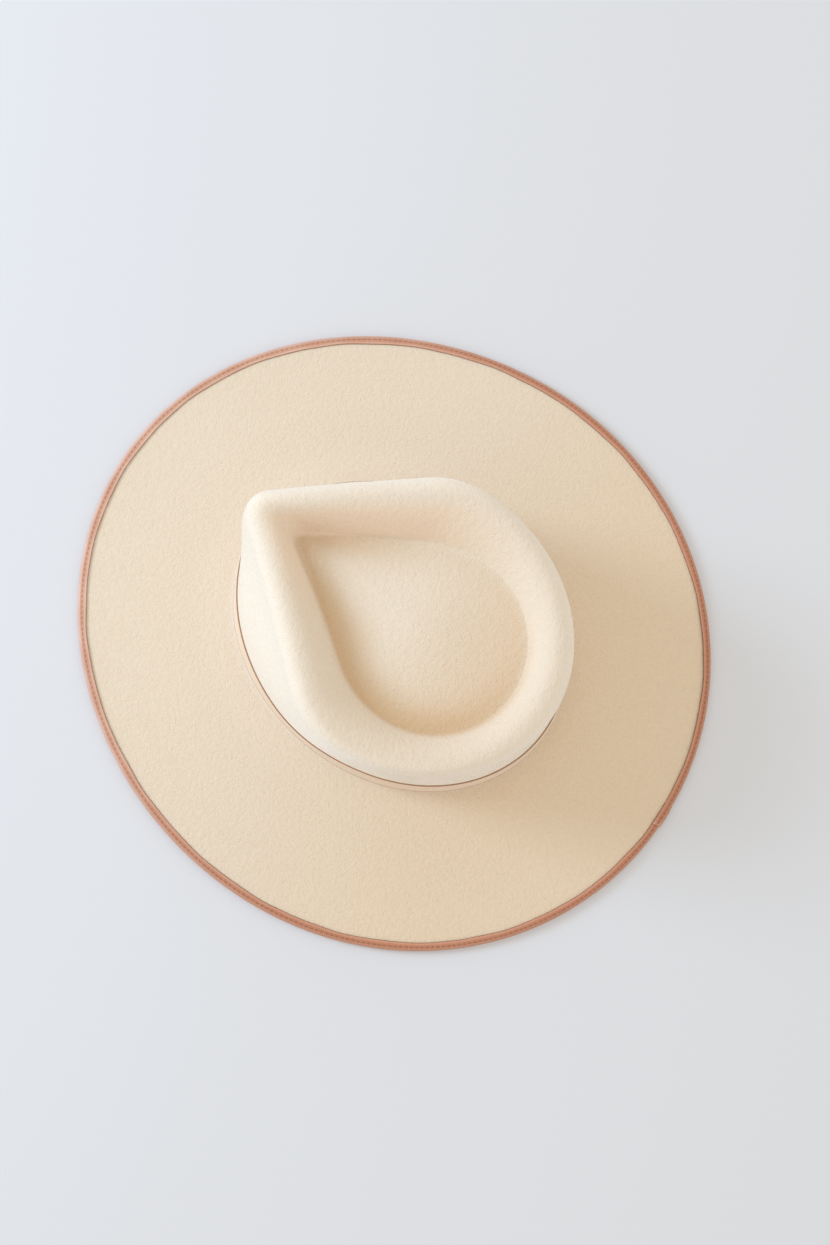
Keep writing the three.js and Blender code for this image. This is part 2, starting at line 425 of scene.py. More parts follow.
# %% [markdown]
# Felt surface
# Wool felt is a mat of short fibres. From near it has soft mottles a few millimetres wide and a fine
# grain; light that grazes it is caught by the loose fibres on top, which is what sheen stands for. Light
# and shade are also painted into its colour: painted shade in the crease on the side in the ridge's
# shadow, and towards the back of the brim and of the dent, where the crown's shadow falls; a warmer
# painted shade in the dent and on the front inner slopes; and painted light on the outside of the crown,
# with a painted pool of bounce light round its foot at the front. So the mesh carries four values, one
# for each of these, and the colour follows them. A fifth marks the crown, where working the felt by hand
# over steam has left it softly lumpy. Paint on an image would do too, but this keeps it sharp.

# %% Felt surface
def shader_group(name, inputs, outputs):
    """An empty shader node group: sockets are (name, kind, value)."""
    group = bpy.data.node_groups.new(name, "ShaderNodeTree")
    for label, kind, value in inputs:
        socket = group.interface.new_socket(name=label, in_out="INPUT", socket_type=kind)
        socket.default_value = value
    for label, kind in outputs:
        group.interface.new_socket(name=label, in_out="OUTPUT", socket_type=kind)
    return group, group.nodes.new("NodeGroupInput"), group.nodes.new("NodeGroupOutput")


def noise(tree, coordinates, scale, detail):
    node = tree.nodes.new("ShaderNodeTexNoise")
    node.inputs["Scale"].default_value = scale
    node.inputs["Detail"].default_value = detail
    tree.links.new(coordinates, node.inputs["Vector"])
    return node.outputs["Fac"]


def calculate(tree, operation, first, second, third=None):
    node = tree.nodes.new("ShaderNodeMath")
    node.operation = operation
    for socket, value in zip(node.inputs, (first, second, third)):
        if value is None:
            continue
        if isinstance(value, (int, float)):
            socket.default_value = value
        else:
            tree.links.new(value, socket)
    return node.outputs["Value"]


def blend_colour(tree, factor, first, second, kind="MIX"):
    node = tree.nodes.new("ShaderNodeMix")
    node.data_type = "RGBA"
    node.blend_type = kind
    for label, value in (("Factor", factor), ("A", first), ("B", second)):
        if hasattr(value, "is_output"):
            tree.links.new(value, node.inputs[label])
        else:
            node.inputs[label].default_value = value
    return node.outputs["Result"]


print("helpers for node trees are ready")

# %% [markdown]
# Mottle, shared by all three fabrics
# Undyed and dyed wool alike are never one even tone. A shader node group makes the uneven tone once: a
# broad cloud, a small mottle and a fine speckle, mixed to one value round zero. Each fabric takes it with
# its own sizes and strengths, so the same idea reads as felt here and as ribbon there.

# %% Mottle, shared by all three fabrics
mottle, mottle_in, mottle_out = shader_group(
    "fibre_mottle",
    [("Cloud Scale", "NodeSocketFloat", 14.0), ("Mottle Scale", "NodeSocketFloat", 240.0),
     ("Speckle Scale", "NodeSocketFloat", 1500.0), ("Cloud", "NodeSocketFloat", 0.3),
     ("Mottle", "NodeSocketFloat", 0.4), ("Speckle", "NodeSocketFloat", 0.3)],
    [("Tone", "NodeSocketFloat"), ("Height", "NodeSocketFloat")],
)


def fill_mottle(tree, group_in, group_out):
    spot = tree.nodes.new("ShaderNodeTexCoord").outputs["Object"]
    layers = []
    for label, detail in (("Cloud", 2.0), ("Mottle", 3.0), ("Speckle", 2.0)):
        value = noise(tree, spot, 1.0, detail)
        tree.links.new(group_in.outputs[label + " Scale"], value.node.inputs["Scale"])
        centred = calculate(tree, "SUBTRACT", value, 0.5)
        layers.append((calculate(tree, "MULTIPLY", centred, group_in.outputs[label]), centred))
    small = calculate(tree, "ADD", layers[1][0], layers[2][0])
    tree.links.new(calculate(tree, "ADD", layers[0][0], small), group_out.inputs["Tone"])
    tree.links.new(small, group_out.inputs["Height"])


fill_mottle(mottle, mottle_in, mottle_out)
print("mottle group:", len(mottle.nodes), "nodes")

# %% Painted light and shade on the felt
def note_values(made, name, values):
    layer = made.data.attributes.new(name, "FLOAT", "POINT")
    layer.data.foreach_set("value", np.ascontiguousarray(values, dtype=np.float32))


def points_of(made):
    flat = np.empty(len(made.data.vertices) * 3)
    made.data.vertices.foreach_get("co", flat)
    return flat.reshape(-1, 3)


def outside_ring(points, name):
    """How far outside one of the crown's rings each point lies, seen from above."""
    turn = np.arctan2(points[:, 0], -points[:, 1])
    ring = place(turn, teardrop_radius(turn, rings[name]), 0.0, ring_shift(turn, name))
    return np.hypot(points[:, 0], points[:, 1]) - np.hypot(ring[:, 0], ring[:, 1])


def lobe(turn, middle, power=1.0, level=0.5):
    """1 on one side of the hat and 0 on the other. The middle is in degrees from the front."""
    return smooth(level + 0.5 * np.cos(turn - math.radians(middle))) ** power


# How far the painted light and the painted shades reach, and how strong each is.
tone_fade = dict(crown=15.0 * mm, crease_out=1.8 * mm, crease_in=15.0 * mm, dent=6.0 * mm, floor=25.0 * mm,
                 slope=9.0 * mm, slope_foot=2.0 * mm, outside=16.0 * mm, foot=38.0 * mm)
brown_start, brown_run = -50.0 * mm, 170.0 * mm
floor_start, floor_run = -20.0 * mm, 80.0 * mm
tone_share = dict(brown_front=0.12, brown_floor=0.6, warm_floor=0.45, pale_slope=0.3, pale_floor=0.35,
                  foot_bounce_light=0.5)


def felt_tones(points):
    """Shares of the felt's painted tones: crease shade, warm shade in the dent, back shade, painted light
    outside; and of the crown.
    """
    turn = np.arctan2(points[:, 0], -points[:, 1])
    on_crown = smooth((points[:, 2] - wall_foot) / tone_fade["crown"])
    past_crease, past_ridge = outside_ring(points, "crease"), outside_ring(points, "ridge")
    past_foot = np.hypot(points[:, 0], points[:, 1]) - crown_radius(turn)
    dent = smooth(-past_crease / tone_fade["dent"])
    floor_back = smooth((points[:, 1] - floor_start) / floor_run)

    # Painted shade: a dark warm band along the crease, strongest on the side that lies in the ridge's
    # shadow.
    crease_fade = np.where(past_crease > 0.0, tone_fade["crease_out"], tone_fade["crease_in"])
    sunk = np.exp(-(past_crease / crease_fade) ** 2) * lobe(turn, 75.0, level=0.6) * on_crown

    # Painted shade: the brim is darker and browner towards its back, where the crown's shadow falls, and so
    # is the back of the dent's floor.
    brim_brown = mix(tone_share["brown_front"], 1.0, smooth((points[:, 1] - brown_start) / brown_run))
    painted_back_shade = mix(brim_brown, tone_share["brown_floor"] * dent * floor_back, on_crown)

    # Painted warm shade on the inner slopes at the front, which face away from the light, and on the back
    # of the dent's floor.
    slope = smooth(-past_ridge / tone_fade["slope"]) * smooth(past_crease / tone_fade["slope_foot"])
    warm_slope = slope * lobe(turn, -36.0, power=7.0)
    warm = on_crown * np.maximum(warm_slope, tone_share["warm_floor"] * dent * floor_back)

    # Painted light: the outside of the crown, the inner wall that faces the light and the middle of the
    # dent's floor towards the front are paler, and a pool of painted bounce light lies on the brim round
    # the crown's foot at the front.
    outside = smooth(0.3 + past_ridge / tone_fade["outside"])
    pale_slope = tone_share["pale_slope"] * (1.0 - dent) * lobe(turn, 240.0)
    pale_floor = tone_share["pale_floor"] * smooth(-past_crease / tone_fade["floor"]) * (1.0 - floor_back)
    foot_bounce_light = tone_share["foot_bounce_light"] * lobe(turn, 12.0) * (1.0 - smooth(past_foot / tone_fade["foot"]))
    pale = mix(foot_bounce_light, np.maximum.reduce([outside, pale_slope, pale_floor]), on_crown)
    return {"sunk": sunk, "warm": warm, "painted_back_shade": painted_back_shade, "pale": pale, "crown": on_crown}


for name, values in felt_tones(points_of(felt)).items():
    note_values(felt, name, values)
    print(name, "felt:", int((values > 0.5).sum()), "points")

# %% Felt material
felt_light = (0.86, 0.75, 0.595, 1.0)
felt_deep = (0.76, 0.61, 0.44, 1.0)
# Tints of the painted light and of the painted shades, laid over the felt's own light and deep tones.
felt_painted_light = (0.95, 0.85, 0.70, 1.0)
felt_warm_shade = (0.90, 0.695, 0.505, 1.0)
felt_crease_shade = (0.70, 0.50, 0.30, 1.0)
felt_back_shade_tint = (0.98, 0.925, 0.85, 1.0)
felt_grain = {"Cloud Scale": 9.0, "Mottle Scale": 400.0, "Speckle Scale": 1300.0,
              "Cloud": 0.25, "Mottle": 0.45, "Speckle": 0.35}
deep_share = 0.28
pale_strength, warm_strength = 0.85, 0.75
nap_depth = 1.1 * mm
lump_depth, lump_scale = 0.42 * mm, 190.0


def named_value(tree, name):
    node = tree.nodes.new("ShaderNodeAttribute")
    node.attribute_name = name
    return node.outputs["Fac"]


def felt_material():
    material = bpy.data.materials.new("ivory_felt")
    material.use_nodes = True
    tree = material.node_tree
    shader = tree.nodes["Principled BSDF"]
    tone = tree.nodes.new("ShaderNodeGroup")
    tone.node_tree = mottle
    for label, value in felt_grain.items():
        tone.inputs[label].default_value = value
    share = calculate(tree, "ADD", tone.outputs["Tone"], deep_share)
    colour = blend_colour(tree, share, felt_light, felt_deep)
    # Painted light, painted warm shade, painted crease shade and painted back shade go over the mottled
    # felt.
    pale = calculate(tree, "MULTIPLY", named_value(tree, "pale"), pale_strength)
    colour = blend_colour(tree, pale, colour, felt_painted_light)
    warm = calculate(tree, "MULTIPLY", named_value(tree, "warm"), warm_strength)
    colour = blend_colour(tree, warm, colour, felt_warm_shade)
    colour = blend_colour(tree, named_value(tree, "sunk"), colour, felt_crease_shade)
    colour = blend_colour(tree, named_value(tree, "painted_back_shade"), colour, felt_back_shade_tint, kind="MULTIPLY")
    tree.links.new(colour, shader.inputs["Base Color"])
    rough = calculate(tree, "MULTIPLY_ADD", tone.outputs["Tone"], 0.1, 0.93)
    tree.links.new(rough, shader.inputs["Roughness"])
    bump = tree.nodes.new("ShaderNodeBump")
    bump.inputs["Strength"].default_value = 1.0
    bump.inputs["Distance"].default_value = nap_depth
    tree.links.new(tone.outputs["Height"], bump.inputs["Height"])
    lumps = tree.nodes.new("ShaderNodeBump")
    lumps.inputs["Distance"].default_value = lump_depth
    spot = tree.nodes.new("ShaderNodeTexCoord").outputs["Object"]
    worked = calculate(tree, "MULTIPLY", noise(tree, spot, lump_scale, 2.0), named_value(tree, "crown"))
    tree.links.new(worked, lumps.inputs["Height"])
    tree.links.new(lumps.outputs["Normal"], bump.inputs["Normal"])
    tree.links.new(bump.outputs["Normal"], shader.inputs["Normal"])
    shader.inputs["Sheen Weight"].default_value = 0.5
    shader.inputs["Sheen Roughness"].default_value = 0.45
    shader.inputs["Sheen Tint"].default_value = (1.0, 0.98, 0.95, 1.0)
    shader.inputs["Specular IOR Level"].default_value = 0.15
    return material


felt.data.materials.append(felt_material())
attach(felt, "root")
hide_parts("felt_body")
print("felt colour, light and deep:", felt_light[:3], felt_deep[:3])

# %% [markdown]
# Ribbons
# Both ribbons are grosgrain: thick threads lie across the ribbon and show as fine ribs. A bump could
# suggest them, but along a cut edge the ribs give a finely notched outline, so they are in the mesh. The
# smooth ribbon is swept first, in steps of half a rib, and each of its points is told how far along the
# ribbon it lies. A small Geometry Nodes tree then pushes the outer face out and in by that value, so one
# tree ribs both ribbons and the pitch of the ribs stays a named input.

# %% A ribbon swept along its length
ribbon_thickness = 0.35 * mm
rib_pitch = 1.3 * mm
rib_height = 0.13 * mm
around = 2.0 * math.pi


def offset_outline(line, thickness):
    """Closes an open section line into an outline by walking back at a thickness to its left."""
    direction = np.gradient(line, axis=0)
    direction /= np.linalg.norm(direction, axis=1, keepdims=True)
    beside = np.stack([-direction[:, 1], direction[:, 0]], axis=1)
    return np.concatenate([line, (line + beside * thickness)[::-1]])


def swept_ribbon(name, rows, across, closed):
    """A ribbon from section rows: each is a closed outline whose first half is the outer face."""
    points = np.concatenate(rows)
    count, size = len(rows), len(rows[0])
    faces = []
    for k in range(count if closed else count - 1):
        here, there = k * size, ((k + 1) % count) * size
        for j in range(size):
            after = (j + 1) % size
            faces.append((there + j, there + after, here + after, here + j))
    if not closed:
        faces.append(tuple(range(size)))
        faces.append(tuple(reversed(range((count - 1) * size, count * size))))
    ribbon = mesh_object(name, points, faces)
    outer = np.r_[np.ones(size // 2), np.zeros(size // 2)]
    note_values(ribbon, "along", np.repeat(np.arange(count) * rib_pitch / 2, size))
    note_values(ribbon, "across", np.tile(np.r_[across, across[::-1]], count))
    note_values(ribbon, "outer", np.tile(outer, count))
    return ribbon


print("rib pitch and height, mm:", rib_pitch / mm, rib_height / mm)

# %% Rib tree
def new_nodes(tree, kinds):
    return {label: tree.nodes.new(kind) for label, kind in kinds.items()}


def rib_tree():
    tree = bpy.data.node_groups.new("ribs", "GeometryNodeTree")
    face = tree.interface
    face.new_socket(name="Geometry", in_out="OUTPUT", socket_type="NodeSocketGeometry")
    face.new_socket(name="Geometry", in_out="INPUT", socket_type="NodeSocketGeometry")
    for label, value in (("Pitch", rib_pitch), ("Height", rib_height)):
        face.new_socket(name=label, in_out="INPUT", socket_type="NodeSocketFloat").default_value = value
    face.new_socket(name="Ribbon", in_out="INPUT", socket_type="NodeSocketMaterial")
    node = new_nodes(tree, {
        "in": "NodeGroupInput", "out": "NodeGroupOutput",
        "along": "GeometryNodeInputNamedAttribute", "outer": "GeometryNodeInputNamedAttribute",
        "normal": "GeometryNodeInputNormal", "push": "ShaderNodeVectorMath",
        "set": "GeometryNodeSetPosition", "smooth": "GeometryNodeSetShadeSmooth",
        "real": "GeometryNodeRealizeInstances", "paint": "GeometryNodeSetMaterial",
    })
    for label in ("along", "outer"):
        node[label].data_type = "FLOAT"
        node[label].inputs["Name"].default_value = label
    ribs = calculate(tree, "DIVIDE", node["along"].outputs["Attribute"], node["in"].outputs["Pitch"])
    wave = calculate(tree, "COSINE", calculate(tree, "MULTIPLY", ribs, around), 0.0)
    share = calculate(tree, "MULTIPLY_ADD", wave, -0.5, 0.5)
    rise = calculate(tree, "MULTIPLY", share, node["in"].outputs["Height"])
    kept = calculate(tree, "MULTIPLY", rise, node["outer"].outputs["Attribute"])
    node["push"].operation = "SCALE"
    link = tree.links.new
    link(node["normal"].outputs["Normal"], node["push"].inputs["Vector"])
    link(kept, node["push"].inputs["Scale"])
    link(node["in"].outputs["Geometry"], node["set"].inputs["Geometry"])
    link(node["push"].outputs["Vector"], node["set"].inputs["Offset"])
    link(node["set"].outputs["Geometry"], node["smooth"].inputs["Geometry"])
    link(node["smooth"].outputs["Geometry"], node["real"].inputs["Geometry"])
    link(node["real"].outputs["Geometry"], node["paint"].inputs["Geometry"])
    link(node["in"].outputs["Ribbon"], node["paint"].inputs["Material"])
    link(node["paint"].outputs["Geometry"], node["out"].inputs["Geometry"])
    return tree


ribs = rib_tree()


def sockets_of(tree):
    """The identifiers of a tree's inputs by name: a modifier's values are set by identifier."""
    return {item.name: item.identifier for item in tree.interface.items_tree if item.in_out == "INPUT"}


def add_ribs(ribbon, material):
    ribbing = ribbon.modifiers.new("ribs", "NODES")
    ribbing.node_group = ribs
    ribbing[sockets_of(ribs)["Ribbon"]] = material
    return freeze(ribbon)


print("rib tree:", len(ribs.nodes), "nodes, inputs", list(sockets_of(ribs)))

# %% [markdown]
# Ribbon material
# Shade and light are painted on the woven ribbons: painted shade in the furrows between the ribs and in the
# channel that a seam pulls in, and a painted highlight along the tan ribbon's selvage bead. These depend on
# the place on the ribbon, not in space, so the values carried by the mesh drive them: how far along and how
# far across each point lies. The shared mottle adds the uneven tone of worn cloth, and a painted sheen
# makes the tan ribbon paler at the front, where the light grazes it.

# %% Ribbon material
grosgrain, grosgrain_in, grosgrain_out = shader_group(
    "grosgrain",
    [("Along", "NodeSocketFloat", 0.0), ("Pitch", "NodeSocketFloat", rib_pitch),
     ("Tone", "NodeSocketFloat", 0.0), ("Furrow Shade", "NodeSocketFloat", 0.3),
     ("Light", "NodeSocketColor", (0.8, 0.7, 0.6, 1.0)), ("Deep", "NodeSocketColor", (0.5, 0.4, 0.3, 1.0))],
    [("Colour", "NodeSocketColor")],
)


weave_share = 0.4
thread_depth = 0.2 * mm


def fill_grosgrain(tree, group_in, group_out):
    ribs_along = calculate(tree, "DIVIDE", group_in.outputs["Along"], group_in.outputs["Pitch"])
    wave = calculate(tree, "COSINE", calculate(tree, "MULTIPLY", ribs_along, around), 0.0)
    # Painted shade in the furrows between the ribs.
    furrow_shade = calculate(tree, "MULTIPLY", wave, group_in.outputs["Furrow Shade"])
    share = calculate(tree, "ADD", calculate(tree, "ADD", furrow_shade, group_in.outputs["Tone"]), weave_share)
    colour = blend_colour(tree, share, group_in.outputs["Light"], group_in.outputs["Deep"])
    tree.links.new(colour, group_out.inputs["Colour"])


fill_grosgrain(grosgrain, grosgrain_in, grosgrain_out)

thread_grain = {"Cloud Scale": 18.0, "Mottle Scale": 420.0, "Speckle Scale": 2600.0,
                "Cloud": 0.3, "Mottle": 0.6, "Speckle": 0.7}


def colour_stops(tree, place_across, stops):
    """A ramp of tints over the ribbon's width: stops are (place, tint), in order."""
    ramp = tree.nodes.new("ShaderNodeValToRGB")
    elements = ramp.color_ramp.elements
    elements[0].position, elements[1].position = stops[0][0], stops[-1][0]
    elements[0].color, elements[1].color = (*stops[0][1], 1.0), (*stops[-1][1], 1.0)
    for position, tint in stops[1:-1]:
        elements.new(position).color = (*tint, 1.0)
    tree.links.new(place_across, ramp.inputs["Fac"])
    return ramp.outputs["Color"]


def ribbon_material(name, light, deep, stops=None, furrow_shade=0.3, shine=0.2, sheen_and_fray=None):
    material = bpy.data.materials.new(name)
    material.use_nodes = True
    tree = material.node_tree
    shader = tree.nodes["Principled BSDF"]
    tone, weave = (tree.nodes.new("ShaderNodeGroup") for _ in range(2))
    tone.node_tree, weave.node_tree = mottle, grosgrain
    for label, value in thread_grain.items():
        tone.inputs[label].default_value = value
    weave.inputs["Light"].default_value = light
    weave.inputs["Deep"].default_value = deep
    weave.inputs["Furrow Shade"].default_value = furrow_shade
    tree.links.new(named_value(tree, "along"), weave.inputs["Along"])
    tree.links.new(tone.outputs["Tone"], weave.inputs["Tone"])
    colour = weave.outputs["Colour"]
    # A painted sheen: the ribbon is paler where the light grazes it near the front.
    if sheen_and_fray:
        colour = blend_colour(tree, named_value(tree, "sheen_and_fray"), colour, sheen_and_fray)
    if stops:
        tint = colour_stops(tree, named_value(tree, "across"), stops)
        colour = blend_colour(tree, 1.0, colour, tint, kind="MULTIPLY")
    tree.links.new(colour, shader.inputs["Base Color"])
    rough = calculate(tree, "MULTIPLY_ADD", tone.outputs["Tone"], 0.15, 0.9 - 0.75 * shine)
    tree.links.new(rough, shader.inputs["Roughness"])
    bump = tree.nodes.new("ShaderNodeBump")
    bump.inputs["Strength"].default_value = 0.5
    bump.inputs["Distance"].default_value = thread_depth
    tree.links.new(tone.outputs["Height"], bump.inputs["Height"])
    tree.links.new(bump.outputs["Normal"], shader.inputs["Normal"])
    shader.inputs["Sheen Weight"].default_value = 0.08
    shader.inputs["Sheen Roughness"].default_value = 0.4
    shader.inputs["Specular IOR Level"].default_value = shine
    return material


print("grosgrain group:", len(grosgrain.nodes), "nodes")

# %% [markdown]
# Brim binding
# The tan ribbon is folded over the brim's edge, so that it shows about as wide above as below. It is one
# length whose end laps over its start near the centre of the back, cut slightly aslant. The seam pulls a
# shallow channel into it, its selvage is a thin bead, and its inner edge lifts a little in places: there
# it throws a thin dark line on the felt. Cloth doesn't fold as tight as the solid, so its fold stands a
# little further out.

# %% Section of the binding
binding_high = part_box("brim_binding")[1]
binding_proud = binding_high.y - brim_half_length
binding_top = edge_top + binding_proud
binding_width = 4.8 * mm
lap_length = 9.0 * mm
fold_slack = 0.4 * mm
seam_depth = 0.16 * mm
seam_inwards = binding_proud - 0.45 * binding_width
face_profile = np.array([
    (-3.5, -0.92, 1.0), (-3.25, -0.62, 0.95), (-2.9, -0.42, 0.8), (-2.5, -0.36, 0.6), (-1.9, -0.15, 0.3),
    (-1.35, -0.05, 0.1), (-0.86, -0.14, 0.0), (-0.4, -0.03, 0.0),
])
face_profile[:, :2] *= mm
fold_start = -0.1 * mm
fold_points = 8


def binding_line(lift):
    """Outer face of the folded ribbon from above the brim to below it: distance from the edge, height."""
    inner = face_profile[:, 0]
    above = np.stack([inner, binding_top + face_profile[:, 1] + lift * face_profile[:, 2]], axis=1)
    below = np.stack([inner, rib_height - face_profile[:, 1]], axis=1)[::-1]
    middle, half = (binding_top + rib_height) / 2, (binding_top - rib_height) / 2
    reach = binding_proud + fold_slack - rib_height - fold_start
    bend = np.linspace(math.pi / 2, -math.pi / 2, fold_points)
    fold = np.stack([fold_start + reach * np.cos(bend), middle + half * np.sin(bend)], axis=1)
    return np.concatenate([above, fold, below])[::-1]


mean_edge = (brim_half_length + brim_half_width) / 2
print("binding stands proud by", round(binding_proud / mm, 2), "mm")

# %% Sweep of the binding
join_turn = -math.pi - math.radians(3.5)
lap_turn = lap_length / mean_edge
lap_rise, lap_outwards = 0.55 * mm, 0.45 * mm
tuck_rise, tuck_drop, tuck_inwards = 0.62 * mm, 0.12 * mm, 0.2 * mm
end_slant = 0.006
wander_size, wander_reach = 0.16 * mm, 3.0 * mm
cut_fray = 3.5 * mm


def lift_along(turn):
    """How far the ribbon's inner edge has come up: slack stretches, each fading out at both ends."""
    lift = np.zeros_like(turn)
    for start, end, most in ((-3.10, -2.35, 0.55), (-0.25, 1.2, 0.3)):
        share = np.clip((turn - start) / (end - start), 0.0, 1.0)
        lift = np.maximum(lift, most * np.sin(math.pi * share) ** 0.5)
    return lift * mm


def wander(turn):
    """The inner edge doesn't run quite true: it strays by a few tenths of a millimetre."""
    return wander_size * (np.sin(23.0 * turn + 0.7) + 0.8 * np.sin(41.0 * turn) * np.sin(5.0 * turn + 2.0))


def lap_share(turn):
    """1 where the end lies on top of the start, falling to 0 a little way along the ribbon."""
    from_end = (turn - join_turn) % around
    return 1.0 - smooth((from_end - lap_turn) / (0.7 * lap_turn))


def binding_rows():
    end_turn = join_turn + around + lap_turn
    count = round((end_turn - join_turn) * mean_edge / (rib_pitch / 2))
    run = np.linspace(join_turn, end_turn, count + 1)
    over = lap_share(run) * (run < join_turn + around)
    under = smooth((run - end_turn + 1.6 * lap_turn) / (0.5 * lap_turn))
    slack = lift_along(run) * (1.0 - over) * (1.0 - under)
    rows = []
    for turn, raised, covered, lift in zip(run, over, under, slack):
        outline = offset_outline(binding_line(lift), ribbon_thickness)
        high = np.clip(outline[:, 1] / binding_top, 0.0, 1.0)
        far = np.clip(outline[:, 0] / binding_proud, 0.0, 1.0)
        outline[:, 1] += lap_rise * raised * high + mix(tuck_rise, -tuck_drop, high) * covered
        outline[:, 0] += (lap_outwards * raised - tuck_inwards * covered) * far
        outline[:, 0] += wander(turn) * np.clip(-outline[:, 0] / wander_reach, 0.0, 1.0)
        from_end = (turn - join_turn) / lap_turn
        slant = end_slant * (1.0 - smooth(from_end)) * (outline[:, 0] / binding_width)
        radius = edge_radius(np.array([turn]))[0] + outline[:, 0]
        rows.append(place(turn + slant, radius, outline[:, 1]))
    return rows


def note_front_sheen(made, most, least=0.0):
    """Notes a painted sheen: paler most near the front, where the light grazes the piece, in patches, and
    never less than a given share.
    """
    points = points_of(made)
    turn = np.arctan2(points[:, 0], -points[:, 1])
    patches = 0.8 + 0.2 * np.sin(17.0 * turn) * np.sin(29.0 * turn + 1.0)
    sheen_and_fray = most * patches * lobe(turn, 7.45, power=3.5)
    note_values(made, "sheen_and_fray", np.maximum(sheen_and_fray, least))


# Tints across the tan ribbon: painted shade in the seam's channel, a painted highlight on the selvage bead,
# and a dark brown inner edge that is partly a dark selvage and partly painted shade of the gap beneath it.
tan_stops = [(0.0, (1.0, 1.0, 1.0)), (0.62, (1.0, 1.03, 1.08)), (0.74, (0.94, 0.82, 0.74)),
             (0.83, (1.0, 0.92, 0.86)), (0.9, (1.2, 1.3, 1.4)), (0.955, (1.1, 1.15, 1.2)),
             (0.975, (0.6, 0.46, 0.38)), (1.0, (0.5, 0.38, 0.30))]
tan = ribbon_material(
    "tan_grosgrain", (0.61, 0.293, 0.175, 1.0), (0.42, 0.182, 0.101, 1.0), tan_stops, shine=0.5,
    sheen_and_fray=(0.76, 0.505, 0.39, 1.0),
)
tan_rows = binding_rows()
tan_across = np.linspace(0.0, 1.0, len(tan_rows[0]) // 2)
tan_ribbon = swept_ribbon("brim_ribbon", tan_rows, tan_across, closed=False)
from_cut = np.arange(len(tan_rows)) * rib_pitch / 2
cut_end = np.repeat(1.0 - smooth(from_cut / cut_fray), len(tan_rows[0]))
# The cut end is paler where it frays; near the front the ribbon gets the painted sheen.
note_front_sheen(tan_ribbon, 0.85, least=0.4 * cut_end)
binding = add_ribs(tan_ribbon, tan)
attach(binding, "root")
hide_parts("brim_binding")
print("binding:", len(binding.data.polygons), "faces, box", [round(s / mm, 1) for s in binding.dimensions])

# %% [markdown]
# Stitches
# One row of thread runs round the binding on top, and the same row shows below. Hundreds of equal stitches
# along a line are what Geometry Nodes are for: the tree sets points on a curve at the stitch spacing, puts
# one small stitch on each, turned along the curve and a little uneven, and joins them to a plain mesh with
# the thread's material. The curve lies in the channel that the seam pulls into the ribbon.

# %% Path of the seam
stitch_spacing = 3.2 * mm
stitch_length = 2.2 * mm
stitch_width = 1.0 * mm
stitch_rise, stitch_gap = 0.1 * mm, 0.02 * mm
seam_points = 1440


def stitch_path(name, heights):
    """A closed curve on the ribbon, one spline, that follows the brim."""
    turn = np.linspace(0.0, around, seam_points, endpoint=False)
    spots = place(turn, edge_radius(turn) + seam_inwards, heights(turn))
    curve = bpy.data.curves.new(name, "CURVE")
    curve.dimensions = "3D"
    spline = curve.splines.new("POLY")
    spline.points.add(len(spots) - 1)
    for point, spot in zip(spline.points, spots):
        point.co = (*spot, 1.0)
    spline.use_cyclic_u = True
    made = bpy.data.objects.new(name, curve)
    bpy.context.scene.collection.objects.link(made)
    return made


def height_above(turn):
    return binding_top - seam_depth + stitch_rise + lap_rise * lap_share(turn)


def height_below(turn):
    return np.full_like(turn, stitch_width / 2 + stitch_gap)


print("stitches round the brim:", round(around * mean_edge / stitch_spacing))

